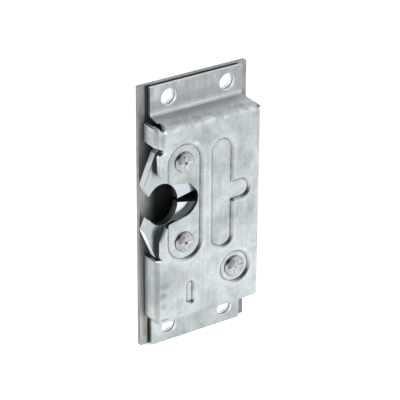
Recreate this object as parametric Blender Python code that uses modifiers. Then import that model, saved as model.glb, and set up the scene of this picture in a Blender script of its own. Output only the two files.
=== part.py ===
"""A two-claw slam latch for a door: a flat back plate, a folded sheet cover and the catch between them.

Frame, in metres: the origin is the centre of the back plate's back face, +X points right as the
latch is seen from its front, +Z points up and -Y points out of the front. A depth below is a
distance in front of the back plate's back face, so a depth d lies at y = -d.
"""
import math

import bmesh
import bpy
from mathutils import Matrix, Vector

MM = 0.001

# Fits
CLEAR = 0.3 * MM                 # between pieces that touch or turn on each other
HOLE_CLEAR = 0.3 * MM            # round a shank in its hole
FLANGE_GAP = 0.6 * MM            # between the back plate and the cover's flanges

# Back plate
PLATE_WIDTH = 50.0 * MM
PLATE_HEIGHT = 114.3 * MM
PLATE_THICK = 1.9 * MM
PLATE_CORNER = 0.3 * MM

# Mounting holes, through the cover's flanges and the plate
HOLE_DIAMETER = 7.14 * MM
HOLE_SIDE = 7.75 * MM            # from a flange's side to a hole's centre, before the pair is centred
HOLE_END = 6.35 * MM             # from the plate's end to a hole's centre
HOLE_CENTRE_X = 1.05 * MM

# Cover: one folded sheet, with a box pressed out of it
SHEET = 1.5 * MM
COVER_DEPTH = 11.5 * MM          # depth of the front face
COVER_LEFT = -23.05 * MM
COVER_RIGHT = 26.3 * MM
TOP_MARGIN = 15.95 * MM          # from the plate's top to where the front face and the slope would meet
BOTTOM_MARGIN = 12.55 * MM       # from the plate's bottom to where the front face would end
TOP_DRAFT = math.radians(24.4)
BOTTOM_DRAFT = math.radians(4.0)
SIDE_DRAFT = math.radians(0.0)
TOP_BEND = 3.0 * MM              # outer radii of the bends
SIDE_BEND = 2.2 * MM
BOTTOM_BEND = 2.0 * MM
FLANGE_WIDTH = 42.5 * MM
FLANGE_CENTRE_X = 0.3 * MM
FLANGE_BEND = 1.2 * MM           # radius in the corner between a flange and the box
TOP_FLANGE_INSET = 0.6 * MM      # from the plate's top edge down to the top flange's edge
CORNER_TOP_LEFT = 0.8 * MM       # the box's corners, seen from the front
CORNER_TOP_RIGHT = 1.5 * MM
CORNER_BOTTOM_RIGHT = 1.6 * MM
CORNER_BOTTOM_LEFT = 3.0 * MM

# Side tab, lower side wall and the relief cuts that free them
TAB_RISE = 0.5 * MM              # how far the tab stands above the front face's top edge
TAB_BOTTOM = 34.2 * MM
LOWER_WALL_TOP = -15.7 * MM
RELIEF_RADIUS = 1.25 * MM
RELIEF_INSET = 3.5 * MM          # from the left wall to the relief hole's centre
SLIT_RADIUS = 0.6 * MM
SLIT_DROP = 2.1 * MM             # from the tab down to the end of the slit under it
LOWER_SLIT_RADIUS = 0.8 * MM
RIGHT_RELIEF_RADIUS = 0.9 * MM
RIGHT_RELIEF_INSET = 1.6 * MM    # from the right wall to that relief's centre
RIGHT_RELIEF_DROP = 0.6 * MM     # from the front face's top edge down to it

# Mouth: places across, and heights above or below the claws' centre line
MOUTH_END_X = -3.0 * MM
MOUTH_END_TOP = 3.0 * MM
MOUTH_END_BOTTOM = 1.6 * MM
MOUTH_NECK_X = -6.6 * MM
MOUTH_NECK_TOP = 7.5 * MM
MOUTH_NECK_BOTTOM = 6.2 * MM
MOUTH_FLARE_X = -16.0 * MM
MOUTH_FLARE_TOP = 9.2 * MM
MOUTH_FLARE_BOTTOM = 8.0 * MM
MOUTH_UPPER_INSET = 1.35 * MM    # from the left wall to the mouth's edge beside the upper claw
MOUTH_UPPER_RISE = 22.9 * MM
MOUTH_MIDDLE_INSET = 1.65 * MM
MOUTH_MIDDLE_RISE = 14.4 * MM
MOUTH_STEP_INSET = 4.75 * MM     # the same beside the lower claw
MOUTH_STEP_DROP = 9.3 * MM
MOUTH_LOWER_INSET = 2.15 * MM
MOUTH_LOWER_DROP = 15.0 * MM

# Catch: two claws, mirrored about their centre line
CENTRE_Z = 7.5 * MM
PIVOT_X = -9.55 * MM
PIVOT_RISE = 17.5 * MM           # from the centre line to a claw's pivot
POCKET_X = -18.0 * MM
POCKET_HALF_WIDTH = 7.2 * MM
POCKET_HALF_HEIGHT = 9.0 * MM
TIP_X = -24.4 * MM
TIP_RISE = 5.2 * MM
SHOULDER_X = -26.5 * MM
SHOULDER_RISE = 9.9 * MM
BACK_X = -21.2 * MM
BACK_RISE = 22.7 * MM
BEAK_X = -10.9 * MM
BEAK_RISE = 0.9 * MM
LEDGE_X = 1.4 * MM               # where the beak steps up to the ledge that the pawl holds
BEAK_END_RISE = 3.4 * MM
LEDGE_RISE = 4.9 * MM
TAIL_X = 4.2 * MM

# Pawl that holds the claws shut
PAWL_X = 14.45 * MM
PAWL_Z = -28.0 * MM
PAWL_HUB_RADIUS = 6.6 * MM
NOSE_X = 2.9 * MM
NOSE_TOP = 3.8 * MM              # above the centre line
NOSE_BOTTOM = 4.0 * MM           # below it
PAWL_SWING = math.radians(12.0)

# Rivets, bushes and washers
SHANK_RADIUS = 3.0 * MM
BUSH_WALL = 0.8 * MM
WASHER_THICK = 0.7 * MM
WASHER_RADIUS = 6.4 * MM
HEAD_RADIUS = 4.25 * MM
PAWL_HEAD_RADIUS = 4.5 * MM
HEAD_HEIGHT = 1.3 * MM
HEAD_SLOPE = 1.15 * MM           # how much smaller the head is across its face than at its foot
TAIL_HEAD_RADIUS = 4.1 * MM
TAIL_HEAD_DEPTH = 1.0 * MM
STAKE_ARM = 0.45 * MM            # half the width of the cross left standing on the head
STAKE_START = 0.1 * MM           # depth of the pressed quarters beside the cross's middle
STAKE_FALL = math.radians(4.0)   # how they fall away along each arm
PUNCH_RADIUS = 0.55 * MM
PUNCH_DEPTH = 0.5 * MM

# Torsion springs
WIRE = 0.8 * MM
COIL_SPACE = 2.0 * MM            # depth that a coil takes up
COIL_TURNS = 1.25
MOVING_LEG = 3.0 * MM
LOWER_FIXED_LEG = 21.5 * MM
UPPER_FIXED_LEG = 10.0 * MM
PAWL_FIXED_LEG = 9.0 * MM
LOWER_LEAN = math.radians(2.2)   # turns the lower claw's spring so that its leg clears the nub

# Release pin, riveted to the pawl and reached through a slot in the plate
PIN_RADIUS = 2.5 * MM
PIN_SHANK_RADIUS = 1.8 * MM
PIN_HEAD_RADIUS = 3.2 * MM
PIN_OFFSET_X = -2.9 * MM         # from the pawl's pivot
PIN_OFFSET_Z = 20.0 * MM
SLOT_CLEAR = 0.6 * MM

# Recesses pressed into the cover's face
RECESS_DEPTH = 1.0 * MM
LIP = 1.3 * MM                   # width of the rounded lip outside a recess
CLAW_RECESS_RADIUS = 7.25 * MM
PAWL_RECESS_RADIUS = 6.4 * MM
RIB_X = 8.0 * MM
RIB_RADIUS = 4.3 * MM
RIB_TOP = 26.0 * MM
RIB_BOTTOM = -12.3 * MM
BRANCH_X = 16.7 * MM
BRANCH_Z = 6.9 * MM
BRANCH_RADIUS = 3.65 * MM
BRANCH_FILLET = 1.5 * MM
NUB_X = -7.0 * MM
NUB_Z = -33.4 * MM
NUB_RADIUS = 1.1 * MM
NUB_HALF_LENGTH = 3.4 * MM

# Places worked out from the above
HOLE_SPACING_X = FLANGE_WIDTH - 2 * HOLE_SIDE
HOLE_SPACING_Z = PLATE_HEIGHT - 2 * HOLE_END
COVER_TOP = PLATE_HEIGHT / 2 - TOP_MARGIN
COVER_BOTTOM = BOTTOM_MARGIN - PLATE_HEIGHT / 2
TAB_TOP = COVER_TOP + TAB_RISE

# Depths worked out from the above
FLANGE_BACK = PLATE_THICK + FLANGE_GAP
FLANGE_FRONT = FLANGE_BACK + SHEET
FLOOR_FRONT = COVER_DEPTH - RECESS_DEPTH
FLOOR_BACK = FLOOR_FRONT - SHEET
WASHER_FRONT = FLOOR_BACK - CLEAR
WASHER_BACK = WASHER_FRONT - WASHER_THICK
SPRING_BACK = PLATE_THICK + CLEAR
SPRING_FRONT = SPRING_BACK + COIL_SPACE
CLAW_BACK = SPRING_FRONT + CLEAR
CLAW_FRONT = WASHER_BACK - CLEAR    # a claw is as thick as the room between the coil and the washer
BUSH_BORE = SHANK_RADIUS + HOLE_CLEAR
BUSH_RADIUS = BUSH_BORE + BUSH_WALL
LEVER_BORE = BUSH_RADIUS + CLEAR
COIL_RADIUS = BUSH_RADIUS + CLEAR + WIRE / 2
UPPER_PIVOT = (PIVOT_X, CENTRE_Z + PIVOT_RISE)
LOWER_PIVOT = (PIVOT_X, CENTRE_Z - PIVOT_RISE)
PAWL_PIVOT = (PAWL_X, PAWL_Z)
PIVOTS = (UPPER_PIVOT, LOWER_PIVOT, PAWL_PIVOT)
PAST = 3.0 * MM                  # how far a cutter runs past what it cuts
SKIP = 0.01 * MM                 # keeps a cutter's face off the face it starts from

ROUND_STEPS = 32


# Building blocks

def clear_scene():
    for obj in list(bpy.data.objects):
        bpy.data.objects.remove(obj, do_unlink=True)


def make_collection(name):
    found = bpy.data.collections.get(name)
    if found is None:
        found = bpy.data.collections.new(name)
        bpy.context.scene.collection.children.link(found)
    return found


def metal(name, colour, roughness):
    material = bpy.data.materials.new(name)
    material.use_nodes = True
    shader = material.node_tree.nodes["Principled BSDF"]
    shader.inputs["Base Color"].default_value = (*colour, 1.0)
    shader.inputs["Metallic"].default_value = 1.0
    shader.inputs["Roughness"].default_value = roughness
    return material


def add_object(name, mesh, place):
    obj = bpy.data.objects.new(name, mesh)
    place.objects.link(obj)
    return obj


def as_cutter(obj):
    obj.hide_render = True
    obj.display_type = "WIRE"
    return obj


def finish_part(obj, material, origin=None):
    """Gives a piece its material and smooth shading, and puts its origin on a pivot (x, z)."""
    obj.data.materials.clear()
    obj.data.materials.append(material)
    obj.data.shade_smooth()
    obj.data.set_sharp_from_angle(angle=math.radians(35))
    if origin is not None:
        shift = Vector((origin[0], 0.0, origin[1]))
        obj.data.transform(Matrix.Translation(-shift))
        obj.matrix_world = Matrix.Translation(shift)
    return obj


def cut(obj, cutter, operation="DIFFERENCE"):
    step = obj.modifiers.new(cutter.name, "BOOLEAN")
    step.operation = operation
    step.solver = "EXACT"
    step.object = cutter


def mesh_from_curve(holder, name, place):
    """Turns a curve object into a mesh with welded caps, in world places, and removes the curve."""
    bpy.context.view_layer.update()
    evaluated = holder.evaluated_get(bpy.context.evaluated_depsgraph_get())
    mesh = bpy.data.meshes.new_from_object(evaluated)
    mesh.name = name
    mesh.transform(holder.matrix_world)
    bpy.data.objects.remove(holder, do_unlink=True)
    shape = bmesh.new()
    shape.from_mesh(mesh)
    bmesh.ops.remove_doubles(shape, verts=shape.verts, dist=0.00001)
    bmesh.ops.recalc_face_normals(shape, faces=shape.faces)
    shape.to_mesh(mesh)
    shape.free()
    return add_object(name, mesh, place)


def flat_piece(name, outlines, back, front, place):
    """Extrudes closed outlines of (x, z) points between two depths; inner outlines are holes."""
    curve = bpy.data.curves.new(name, "CURVE")
    curve.dimensions = "2D"
    curve.fill_mode = "BOTH"
    curve.extrude = (front - back) / 2
    for outline in outlines:
        spline = curve.splines.new("POLY")
        spline.points.add(len(outline) - 1)
        for point, (x, z) in zip(spline.points, outline):
            point.co = (x, z, 0.0, 1.0)
        spline.use_cyclic_u = True
    holder = add_object(name + "_outline", curve, place)
    holder.matrix_world = (Matrix.Translation((0.0, -(front + back) / 2, 0.0))
                           @ Matrix.Rotation(math.pi / 2, 4, "X"))
    return mesh_from_curve(holder, name, place)


def side_piece(name, outline, left, right, place):
    """Extrudes a closed outline of (depth, z) points between two x places."""
    curve = bpy.data.curves.new(name, "CURVE")
    curve.dimensions = "2D"
    curve.fill_mode = "BOTH"
    curve.extrude = (right - left) / 2
    spline = curve.splines.new("POLY")
    spline.points.add(len(outline) - 1)
    for point, (depth, z) in zip(spline.points, outline):
        point.co = (-depth, z, 0.0, 1.0)
    spline.use_cyclic_u = True
    holder = add_object(name + "_outline", curve, place)
    holder.matrix_world = (Matrix.Translation(((left + right) / 2, 0.0, 0.0))
                           @ Matrix.Rotation(math.pi / 2, 4, "Z")
                           @ Matrix.Rotation(math.pi / 2, 4, "X"))
    return mesh_from_curve(holder, name, place)


def turned_piece(name, profile, centre, place):
    """Turns a closed profile of (radius, depth) points, back to front, about a pivot (x, z)."""
    shape = bmesh.new()
    corners = [shape.verts.new((radius, 0.0, depth)) for radius, depth in reversed(profile)]
    on_axis = profile[0][0] == 0.0
    pairs = list(zip(corners, corners[1:]))
    if not on_axis:
        pairs.append((corners[-1], corners[0]))
    for pair in pairs:
        shape.edges.new(pair)
    mesh = bpy.data.meshes.new(name)
    shape.to_mesh(mesh)
    shape.free()
    holder = add_object(name + "_profile", mesh, place)
    screw = holder.modifiers.new("turn", "SCREW")
    screw.axis = "Z"
    screw.steps = ROUND_STEPS
    screw.render_steps = ROUND_STEPS
    screw.use_merge_vertices = True
    screw.merge_threshold = 0.00001
    holder.matrix_world = (Matrix.Translation((centre[0], 0.0, centre[1]))
                           @ Matrix.Rotation(math.pi / 2, 4, "X"))
    return mesh_from_curve(holder, name, place)


def loft(name, rings, place):
    """Joins rings of equally many points, given front to back, into one closed body."""
    shape = bmesh.new()
    loops = [[shape.verts.new(point) for point in ring] for ring in rings]
    count = len(loops[0])
    for near, far in zip(loops, loops[1:]):
        for index in range(count):
            following = (index + 1) % count
            shape.faces.new((near[index], near[following], far[following], far[index]))
    shape.faces.new(list(reversed(loops[0])))
    shape.faces.new(loops[-1])
    bmesh.ops.recalc_face_normals(shape, faces=shape.faces)
    mesh = bpy.data.meshes.new(name)
    shape.to_mesh(mesh)
    shape.free()
    return add_object(name, mesh, place)


def rod(name, centre, radius, back, front, place, steps=ROUND_STEPS):
    """A round bar along the depth, from a primitive."""
    shape = bmesh.new()
    bmesh.ops.create_cone(shape, cap_ends=True, segments=steps, radius1=radius, radius2=radius,
                          depth=front - back)
    mesh = bpy.data.meshes.new(name)
    shape.to_mesh(mesh)
    shape.free()
    mesh.transform(Matrix.Translation((centre[0], -(front + back) / 2, centre[1]))
                   @ Matrix.Rotation(math.pi / 2, 4, "X"))
    return add_object(name, mesh, place)


def joined(name, objects, place):
    """Puts separate closed shapes that don't meet into one object."""
    shape = bmesh.new()
    for obj in objects:
        shape.from_mesh(obj.data)
        bpy.data.objects.remove(obj, do_unlink=True)
    mesh = bpy.data.meshes.new(name)
    shape.to_mesh(mesh)
    shape.free()
    return add_object(name, mesh, place)


# Outlines

def arc(centre, radius, start, end, steps):
    """Points on a circle in (x, z), angles in radians, both ends included."""
    points = []
    for step in range(steps + 1):
        angle = start + (end - start) * step / steps
        points.append((centre[0] + radius * math.cos(angle), centre[1] + radius * math.sin(angle)))
    return points


def circle(centre, radius, steps=ROUND_STEPS):
    return arc(centre, radius, 0.0, 2 * math.pi * (1 - 1 / steps), steps - 1)


def rounded(corners, steps=4):
    """Rounds each (x, z, radius) corner of a closed outline with an arc; radius 0 stays sharp."""
    points = []
    count = len(corners)
    for index, (x, z, radius) in enumerate(corners):
        if radius == 0.0:
            points.append((x, z))
            continue
        here = Vector((x, z))
        before = (Vector(corners[index - 1][:2]) - here).normalized()
        after = (Vector(corners[(index + 1) % count][:2]) - here).normalized()
        half = before.angle(after) / 2
        centre = here + (before + after).normalized() * (radius / math.sin(half))
        first = here + before * (radius / math.tan(half)) - centre
        last = here + after * (radius / math.tan(half)) - centre
        start = math.atan2(first.y, first.x)
        turn = math.atan2(first.x * last.y - first.y * last.x, first.dot(last))
        points.extend(arc(centre, radius, start, start + turn, steps))
    return points


def obround(low, high, radius, steps=12):
    """The outline of a slot with round ends between two (x, z) centres, low one first."""
    along = math.atan2(high[1] - low[1], high[0] - low[0])
    quarter = math.pi / 2
    ends = arc(high, radius, along - quarter, along + quarter, steps)
    return ends + arc(low, radius, along + quarter, along + 3 * quarter, steps)


def at_depth(outline, depth):
    return [(x, -depth, z) for x, z in outline]


def turned_about(point, pivot, angle):
    """A point (x, z) turned about a pivot; a positive angle is counterclockwise from the front."""
    x = point[0] - pivot[0]
    z = point[1] - pivot[1]
    return (pivot[0] + x * math.cos(angle) - z * math.sin(angle),
            pivot[1] + x * math.sin(angle) + z * math.cos(angle))


# Back plate

def make_back_plate(parts, cutters, material):
    half_width = PLATE_WIDTH / 2
    half_height = PLATE_HEIGHT / 2
    outline = rounded([(-half_width, -half_height, PLATE_CORNER), (half_width, -half_height, PLATE_CORNER),
                       (half_width, half_height, PLATE_CORNER), (-half_width, half_height, PLATE_CORNER)], 2)
    plate = flat_piece("back_plate", [outline], 0.0, PLATE_THICK, parts)
    cut(plate, mounting_holes("plate_mounting_holes", cutters, 0.0, PLATE_THICK))
    edge = TAIL_HEAD_RADIUS + HOLE_CLEAR
    throat = SHANK_RADIUS + HOLE_CLEAR
    profile = [(0.0, -PAST), (edge, -PAST), (edge, 0.0), (throat, TAIL_HEAD_DEPTH),
               (throat, PLATE_THICK + PAST), (0.0, PLATE_THICK + PAST)]
    holes = [turned_piece("countersink", profile, pivot, cutters) for pivot in PIVOTS]
    for lever in ("upper_claw", "pawl"):
        holes.append(rod("spring_hole", anchor_hole(lever), WIRE / 2 + HOLE_CLEAR, -PAST, PLATE_THICK + PAST,
                         cutters, 12))
    start = pin_place()
    end = turned_about(start, PAWL_PIVOT, -PAWL_SWING)
    slot = obround(start, end, PIN_RADIUS + SLOT_CLEAR)
    holes.append(flat_piece("release_slot", [slot], -PAST, PLATE_THICK + PAST, cutters))
    cut(plate, as_cutter(joined("plate_inner_holes", holes, cutters)))
    return finish_part(plate, material)


def mounting_holes(name, cutters, back, front):
    rods = []
    for x_side in (-1, 1):
        for z_side in (-1, 1):
            centre = (HOLE_CENTRE_X + x_side * HOLE_SPACING_X / 2, z_side * HOLE_SPACING_Z / 2)
            rods.append(rod("hole", centre, HOLE_DIAMETER / 2, back - PAST, front + PAST, cutters))
    return as_cutter(joined(name, rods, cutters))


def pin_place():
    return (PAWL_X + PIN_OFFSET_X, PAWL_Z + PIN_OFFSET_Z)


# Cover

def wall_reach(depth, radius, draft):
    """How far a wall lies outside the sharp corner that it bends from, at a depth behind the face."""
    if depth >= radius * (1 - math.sin(draft)):
        return depth * math.tan(draft)
    setback = radius * math.tan((math.pi / 2 - draft) / 2)
    return math.sqrt(radius ** 2 - (radius - depth) ** 2) - setback


def skin_reach(depth, radius, draft, inward):
    """The same for the outer skin (inward 0) or for the skin one sheet further in."""
    corner = inward * (math.tan(draft) - 1 / math.cos(draft))
    inner_radius = max(radius - inward, SHEET / 5)
    return corner + wall_reach(depth - inward, inner_radius, draft)


def box_ring(depth, inward):
    """The box's outline at a depth behind the front face, a rounded rectangle of (x, z) points."""
    side = skin_reach(depth, SIDE_BEND, SIDE_DRAFT, inward)
    top = COVER_TOP + skin_reach(depth, TOP_BEND, TOP_DRAFT, inward)
    bottom = COVER_BOTTOM - skin_reach(depth, BOTTOM_BEND, BOTTOM_DRAFT, inward)
    left = COVER_LEFT - side
    right = COVER_RIGHT + side
    least = SHEET / 4

    def corner(radius):
        return max(radius + side, least)

    return rounded([(left, bottom, corner(CORNER_BOTTOM_LEFT)), (right, bottom, corner(CORNER_BOTTOM_RIGHT)),
                    (right, top, corner(CORNER_TOP_RIGHT)), (left, top, corner(CORNER_TOP_LEFT))], 5)


def box_body(name, inward, back, place):
    widest = max(TOP_BEND, SIDE_BEND, BOTTOM_BEND) - inward
    depths = [inward + widest * (1 - math.cos(math.radians(angle))) for angle in range(0, 91, 15)]
    depths.append(COVER_DEPTH - back)
    rings = [at_depth(box_ring(depth, inward), COVER_DEPTH - depth) for depth in depths]
    return loft(name, rings, place)


def claw_recess_outline(grow):
    return obround(LOWER_PIVOT, UPPER_PIVOT, CLAW_RECESS_RADIUS + grow)


def pawl_recess_outline(grow):
    return circle(PAWL_PIVOT, PAWL_RECESS_RADIUS + grow)


def nub_recess_outline(grow):
    low = (NUB_X, NUB_Z - NUB_HALF_LENGTH)
    high = (NUB_X, NUB_Z + NUB_HALF_LENGTH)
    return obround(low, high, NUB_RADIUS + grow, 6)


def rib_recess_outline(grow):
    """The upright rib with its short branch to the right."""
    rib = RIB_RADIUS + grow
    branch = BRANCH_RADIUS + grow
    left = RIB_X - rib
    right = RIB_X + rib
    end = BRANCH_X + branch
    under = BRANCH_Z - branch
    over = BRANCH_Z + branch
    fillet = max(BRANCH_FILLET - grow, CLEAR)
    rib_end = 0.98 * rib
    branch_end = 0.98 * branch
    low = RIB_BOTTOM - rib
    high = RIB_TOP + rib
    return rounded([(left, low, rib_end), (right, low, rib_end), (right, under, fillet),
                    (end, under, branch_end), (end, over, branch_end), (right, over, fillet),
                    (right, high, rib_end), (left, high, rib_end)], 6)


RECESSES = (("claw_recess", claw_recess_outline, LIP), ("pawl_recess", pawl_recess_outline, LIP),
            ("rib_recess", rib_recess_outline, LIP), ("nub_recess", nub_recess_outline, NUB_RADIUS))


def recess_cutter(name, outline, lip, place):
    """The space of a recess: sloping sides that round over to the face and meet the floor sharply."""
    sections = [(COVER_DEPTH + PAST, lip), (COVER_DEPTH + SKIP, lip), (FLOOR_FRONT, 0.0)]
    flare = ((0.06, 0.86), (0.40, 0.48), (0.80, 0.13))      # shares of the depth and of the lip
    sections[2:2] = [(COVER_DEPTH - down * RECESS_DEPTH, out * lip) for down, out in flare]
    return as_cutter(loft(name, [at_depth(outline(grow), depth) for depth, grow in sections], place))


def recess_bump(name, outline, place):
    """The same pressing seen from inside: what stands out of the cover's back."""
    base = COVER_DEPTH - SHEET
    side = 0.75 * SHEET
    sections = [(base + SHEET / 2, side), (base - 0.5 * RECESS_DEPTH, side),
                (FLOOR_BACK + 0.1 * RECESS_DEPTH, side - 0.15 * RECESS_DEPTH),
                (FLOOR_BACK, side - 0.4 * RECESS_DEPTH)]
    return as_cutter(loft(name, [at_depth(outline(grow), depth) for depth, grow in sections], place))


def flange(name, side, place):
    """A flange with the bend that joins it to the box: side is 1 at the top, -1 at the bottom.

    The top one starts wider, because the cuts that free the slope's ends trim it as well.
    """
    draft = TOP_DRAFT if side > 0 else BOTTOM_DRAFT
    edge = COVER_TOP if side > 0 else -COVER_BOTTOM
    end = PLATE_HEIGHT / 2 - (TOP_FLANGE_INSET if side > 0 else 0.0)
    depth_behind = COVER_DEPTH - FLANGE_FRONT
    corner = edge + depth_behind * math.tan(draft)
    setback = FLANGE_BEND * math.tan((math.pi / 2 - draft) / 2)
    centre = (FLANGE_FRONT + FLANGE_BEND, corner + setback - 3 * SKIP)
    bend = arc(centre, FLANGE_BEND, math.pi, 3 * math.pi / 2 - draft, 6)
    inside = SHEET / 2
    outline = [(FLANGE_BACK, end), (FLANGE_FRONT, end)]
    outline.extend(bend)
    outline.append((bend[-1][0], bend[-1][1] - inside))
    outline.append((FLANGE_BACK, corner - inside))
    outline = [(depth, side * z) for depth, z in outline]
    spare = PAST / 4 if side > 0 else 0.0
    left = FLANGE_CENTRE_X - FLANGE_WIDTH / 2 - spare
    right = FLANGE_CENTRE_X + FLANGE_WIDTH / 2 + spare
    return as_cutter(side_piece(name, outline, left, right, place))


def mouth_outline():
    """The opening round the claws: a slot for the striker that flares to the left edge."""
    far_left = COVER_LEFT - PAST
    middle = CENTRE_Z
    slit = COVER_LEFT + RELIEF_INSET
    slit_end = TAB_BOTTOM - SLIT_DROP
    lower_slit = COVER_LEFT + RELIEF_INSET - CLEAR
    return rounded([
        (far_left, TAB_BOTTOM, 0.0),
        (COVER_LEFT + SLIT_RADIUS / 2, TAB_BOTTOM, SLIT_RADIUS),
        (slit + 1.4 * SLIT_RADIUS, slit_end + SLIT_RADIUS / 2, 0.8 * SLIT_RADIUS),
        (slit - SLIT_RADIUS / 2, slit_end - 1.2 * SLIT_RADIUS, 0.8 * SLIT_RADIUS),
        (COVER_LEFT + MOUTH_UPPER_INSET, middle + MOUTH_UPPER_RISE, 1.2 * MM),
        (COVER_LEFT + MOUTH_MIDDLE_INSET, middle + MOUTH_MIDDLE_RISE, 2.0 * MM),
        (MOUTH_FLARE_X, middle + MOUTH_FLARE_TOP, 5.0 * MM),
        (MOUTH_NECK_X, middle + MOUTH_NECK_TOP, 2.0 * MM),
        (MOUTH_END_X, middle + MOUTH_END_TOP, 5.5 * MM),
        (MOUTH_END_X, middle - MOUTH_END_BOTTOM, 6.0 * MM),
        (MOUTH_NECK_X, middle - MOUTH_NECK_BOTTOM, 7.5 * MM),
        (MOUTH_FLARE_X, middle - MOUTH_FLARE_BOTTOM, 3.0 * MM),
        (COVER_LEFT + MOUTH_STEP_INSET, middle - MOUTH_STEP_DROP, 1.5 * MM),
        (COVER_LEFT + MOUTH_LOWER_INSET, middle - MOUTH_LOWER_DROP, 3.0 * MM),
        (COVER_LEFT + MOUTH_LOWER_INSET - CLEAR / 3, LOWER_WALL_TOP + 1.6 * LOWER_SLIT_RADIUS,
         LOWER_SLIT_RADIUS / 2),
        (lower_slit, LOWER_WALL_TOP + 1.1 * LOWER_SLIT_RADIUS, LOWER_SLIT_RADIUS / 2),
        (lower_slit, LOWER_WALL_TOP, LOWER_SLIT_RADIUS / 2),
        (far_left, LOWER_WALL_TOP, 0.0),
    ], 6)


def wall_gap(place):
    """Clears the left wall away behind the mouth's edge, which runs along the wall's bend."""
    left = COVER_LEFT - PAST
    right = COVER_LEFT + SHEET + CLEAR
    low = LOWER_WALL_TOP + LOWER_SLIT_RADIUS / 2
    high = TAB_BOTTOM - SLIT_RADIUS
    outline = [(left, low), (right, low), (right, high), (left, high)]
    return as_cutter(flat_piece("wall_gap", [outline], 0.0, COVER_DEPTH - SHEET - CLEAR, place))


def slope_end_cutters(place):
    """What frees the top slope's two ends from the side walls, with the relief holes."""
    flange_left = FLANGE_CENTRE_X - FLANGE_WIDTH / 2
    flange_right = FLANGE_CENTRE_X + FLANGE_WIDTH / 2
    past_top = PLATE_HEIGHT / 2 + PAST
    slope_top = COVER_TOP + (COVER_DEPTH - FLANGE_FRONT) * math.tan(TOP_DRAFT)
    left_relief = (COVER_LEFT + RELIEF_INSET, TAB_TOP)
    left = [(COVER_LEFT - PAST, TAB_TOP), (left_relief[0], TAB_TOP),
            (flange_left, slope_top), (flange_left, past_top), (COVER_LEFT - PAST, past_top)]
    right_relief = (COVER_RIGHT - RIGHT_RELIEF_INSET, COVER_TOP - RIGHT_RELIEF_DROP)
    right = [(COVER_RIGHT + PAST, right_relief[1]), (COVER_RIGHT + PAST, past_top),
             (flange_right, past_top), (flange_right, slope_top), right_relief]
    back = 0.0
    front = COVER_DEPTH + PAST
    return [
        as_cutter(flat_piece("left_slope_end", [left], back, front, place)),
        as_cutter(flat_piece("right_slope_end", [right], back, front, place)),
        as_cutter(rod("left_relief", left_relief, RELIEF_RADIUS, FLANGE_FRONT, front, place, 20)),
        as_cutter(rod("right_relief", right_relief, RIGHT_RELIEF_RADIUS, FLANGE_FRONT, front, place, 20)),
    ]


def make_cover(parts, cutters, material):
    cover = box_body("cover", 0.0, FLANGE_BACK, parts)
    hollow = as_cutter(box_body("cover_hollow", SHEET, 0.0, cutters))
    for name, outline, lip in RECESSES:
        cut(hollow, recess_bump(name + "_bump", outline, cutters))
        cut(cover, recess_cutter(name, outline, lip, cutters))
    cut(cover, flange("top_flange", 1, cutters), "UNION")
    cut(cover, flange("bottom_flange", -1, cutters), "UNION")
    cut(cover, hollow)
    mouth = flat_piece("mouth", [mouth_outline()], 0.0, COVER_DEPTH + PAST, cutters)
    cut(cover, as_cutter(mouth))
    cut(cover, wall_gap(cutters))
    for cutter in slope_end_cutters(cutters):
        cut(cover, cutter)
    cut(cover, mounting_holes("cover_mounting_holes", cutters, FLANGE_BACK, FLANGE_FRONT))
    hole_radius = SHANK_RADIUS + HOLE_CLEAR
    rods = [rod("rivet_hole", pivot, hole_radius, FLOOR_BACK - CLEAR, COVER_DEPTH + PAST, cutters)
            for pivot in PIVOTS]
    cut(cover, as_cutter(joined("cover_rivet_holes", rods, cutters)))
    return finish_part(cover, material)


# Claws

def claw_outline(side):
    """One claw's edge; side is 1 for the upper claw and -1 for its mirror image, the lower one."""
    top = PIVOT_RISE
    corners = [
        (TIP_X, TIP_RISE, 0.3 * MM), (SHOULDER_X, SHOULDER_RISE, 0.6 * MM), (BACK_X, BACK_RISE, 1.0 * MM),
        (PIVOT_X - 6.5 * MM, top + 9.9 * MM, 4.0 * MM), (PIVOT_X + 5.0 * MM, top + 9.6 * MM, 6.0 * MM),
        (PIVOT_X + 10.2 * MM, top + 2.0 * MM, 5.0 * MM),
        (TAIL_X - 1.6 * MM, LEDGE_RISE + 8.5 * MM, 4.0 * MM),
        (TAIL_X + 0.8 * MM, LEDGE_RISE + 4.3 * MM, 1.5 * MM), (TAIL_X, LEDGE_RISE, 0.4 * MM),
        (LEDGE_X + 0.5 * MM, LEDGE_RISE, 0.4 * MM), (LEDGE_X, BEAK_END_RISE, 0.4 * MM),
        (BEAK_X, BEAK_RISE, 0.3 * MM),
    ]
    outline = rounded(corners)
    start = math.asin((BEAK_RISE + 0.7 * MM) / POCKET_HALF_HEIGHT)
    end = math.pi - math.asin(TIP_RISE / POCKET_HALF_HEIGHT)
    steps = 18
    for step in range(steps + 1):
        angle = start + (end - start) * step / steps
        outline.append((POCKET_X + POCKET_HALF_WIDTH * math.cos(angle),
                        POCKET_HALF_HEIGHT * math.sin(angle)))
    return [(x, CENTRE_Z + side * rise) for x, rise in outline]


def make_claw(name, side, pivot, hole, parts, material):
    outlines = [claw_outline(side), circle(pivot, LEVER_BORE), circle(hole, WIRE / 2 + HOLE_CLEAR, 12)]
    claw = flat_piece(name, outlines, CLAW_BACK, CLAW_FRONT, parts)
    return finish_part(claw, material, pivot)


# Pawl and release pin

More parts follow.
